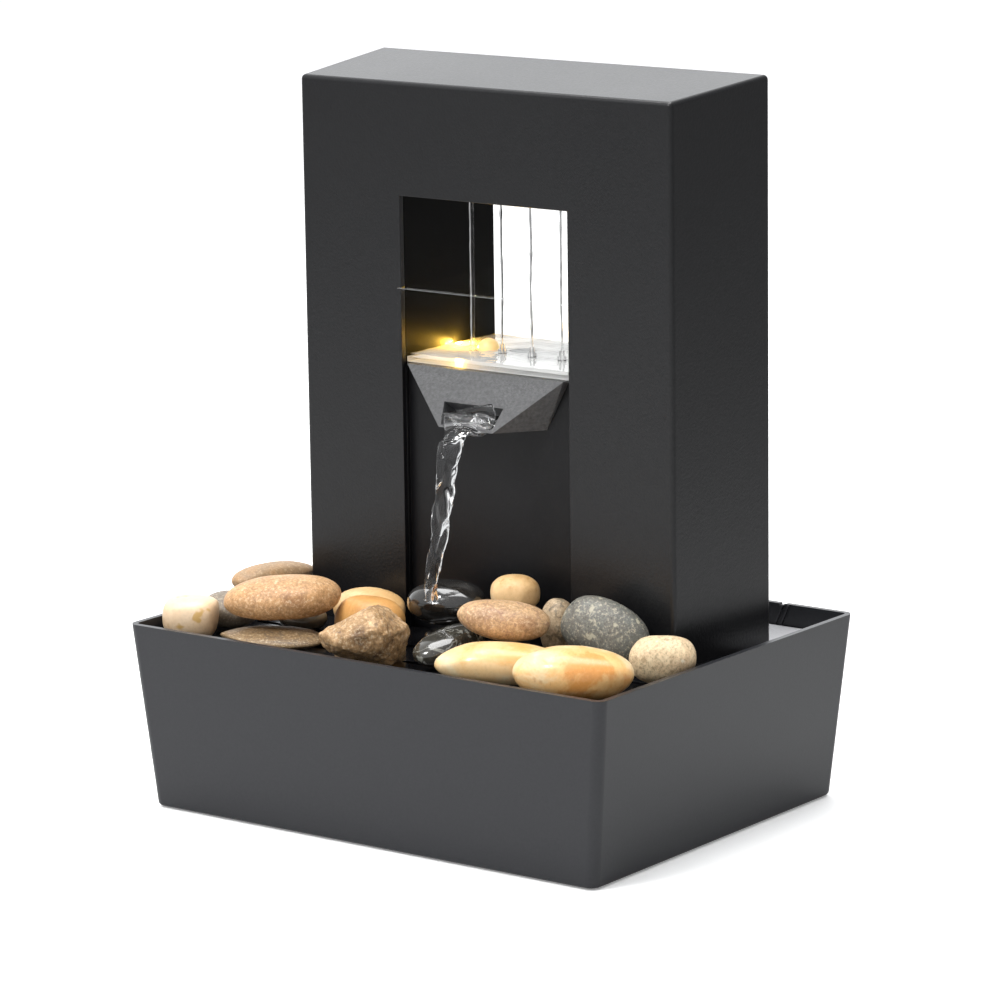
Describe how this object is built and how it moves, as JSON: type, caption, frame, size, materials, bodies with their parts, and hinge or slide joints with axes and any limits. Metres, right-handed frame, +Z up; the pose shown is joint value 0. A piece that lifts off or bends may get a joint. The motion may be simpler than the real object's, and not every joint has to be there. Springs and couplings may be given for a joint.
{
  "type": "tabletop water fountain",
  "caption": "Indoor fountain: tapered basin of loose pebbles and an upright slab tower whose lit window drips water down threads into a clear tray and out of a spout.",
  "frame": {"origin": "centre of the basin's footprint, on the surface that the rubber feet stand on", "axes": "+Z up; +Y towards the back, where the power inlet and the notch for its lead are; +X to the right as seen from the spout's side"},
  "size_m": [0.212, 0.16, 0.2678],
  "materials": {
    "black_plastic": "satin moulded, fine grain",
    "dark_plastic": "smooth",
    "rubber": "matte",
    "steel": "stainless",
    "acrylic": "polished clear acrylic",
    "thread": "clear nylon monofilament",
    "hose": "clear vinyl hose",
    "white_plastic": "moulded",
    "magnet": "sintered ferrite",
    "shaft": "polished ceramic",
    "grey_plastic": "moulded",
    "board": "coated circuit board",
    "lens": "frosted clear",
    "lead_black": "soft sheath",
    "lead_red": "soft sheath",
    "stone_light": "water-worn, wet at the foot",
    "stone_brown": "water-worn, dry",
    "stone_dark": "wet and glossy",
    "stone_grey": "speckled"
  },
  "bodies": {
    "basin": {"basin": "black_plastic", "rubber_feet": "rubber"},
    "head": {"deck": "dark_plastic", "deck_screws": "steel", "tower_shell": "black_plastic", "front_panel": "black_plastic", "back_cover": "black_plastic", "cover_screws": "steel", "window_liner": "dark_plastic", "clear_tray": "acrylic", "spout": "black_plastic", "drain_chute": "dark_plastic", "drain_grommet": "rubber", "drip_manifold": "dark_plastic", "manifold_lid": "dark_plastic", "drip_threads": "thread", "thread_anchors": "acrylic", "riser_tube": "hose", "pump_cradle": "black_plastic", "pump_body": "dark_plastic", "pump_cover": "dark_plastic", "impeller_shaft": "shaft", "pump_lead": "lead_black", "led_holder": "dark_plastic", "led_board": "board", "led_lens": "lens", "led_seal": "rubber", "led_lead": "lead_red", "inlet_body": "dark_plastic", "inlet_pin": "steel", "inlet_nut": "steel", "pebble_cream": "stone_light", "pebble_slate_left": "stone_grey", "pebble_tan_large": "stone_brown", "pebble_brown_left": "stone_brown", "pebble_slab": "stone_grey", "rock_rough": "stone_brown", "pebble_straw": "stone_light", "pebble_orange": "stone_light", "pebble_black_top": "stone_dark", "pebble_black_front": "stone_dark", "pebble_yellow": "stone_light", "pebble_pink": "stone_brown", "pebble_speckled_small": "stone_grey", "pebble_speckled_large": "stone_grey", "pebble_beige": "stone_light", "pebble_amber": "stone_light", "pebble_sand": "stone_brown", "pebble_dark_mid": "stone_dark", "pebble_dark_right": "stone_dark", "pebble_dark_left": "stone_dark"},
    "rotor": {"impeller": "white_plastic", "rotor_magnet": "magnet"},
    "slider": {"flow_slider": "grey_plastic"}
  },
  "joints": [
    {"name": "head_lift", "type": "slide", "parent": "basin", "child": "head", "axis": [0, 0, 1], "range_m": [0, 0.08]},
    {"name": "impeller_spin", "type": "hinge", "parent": "head", "child": "rotor", "pos_m": [0.058, 0.018, 0.026], "axis": [1, 0, 0], "continuous": true},
    {"name": "flow_slide", "type": "slide", "parent": "head", "child": "slider", "axis": [0, 1, 0], "range_m": [0, 0.0115]}
  ]
}
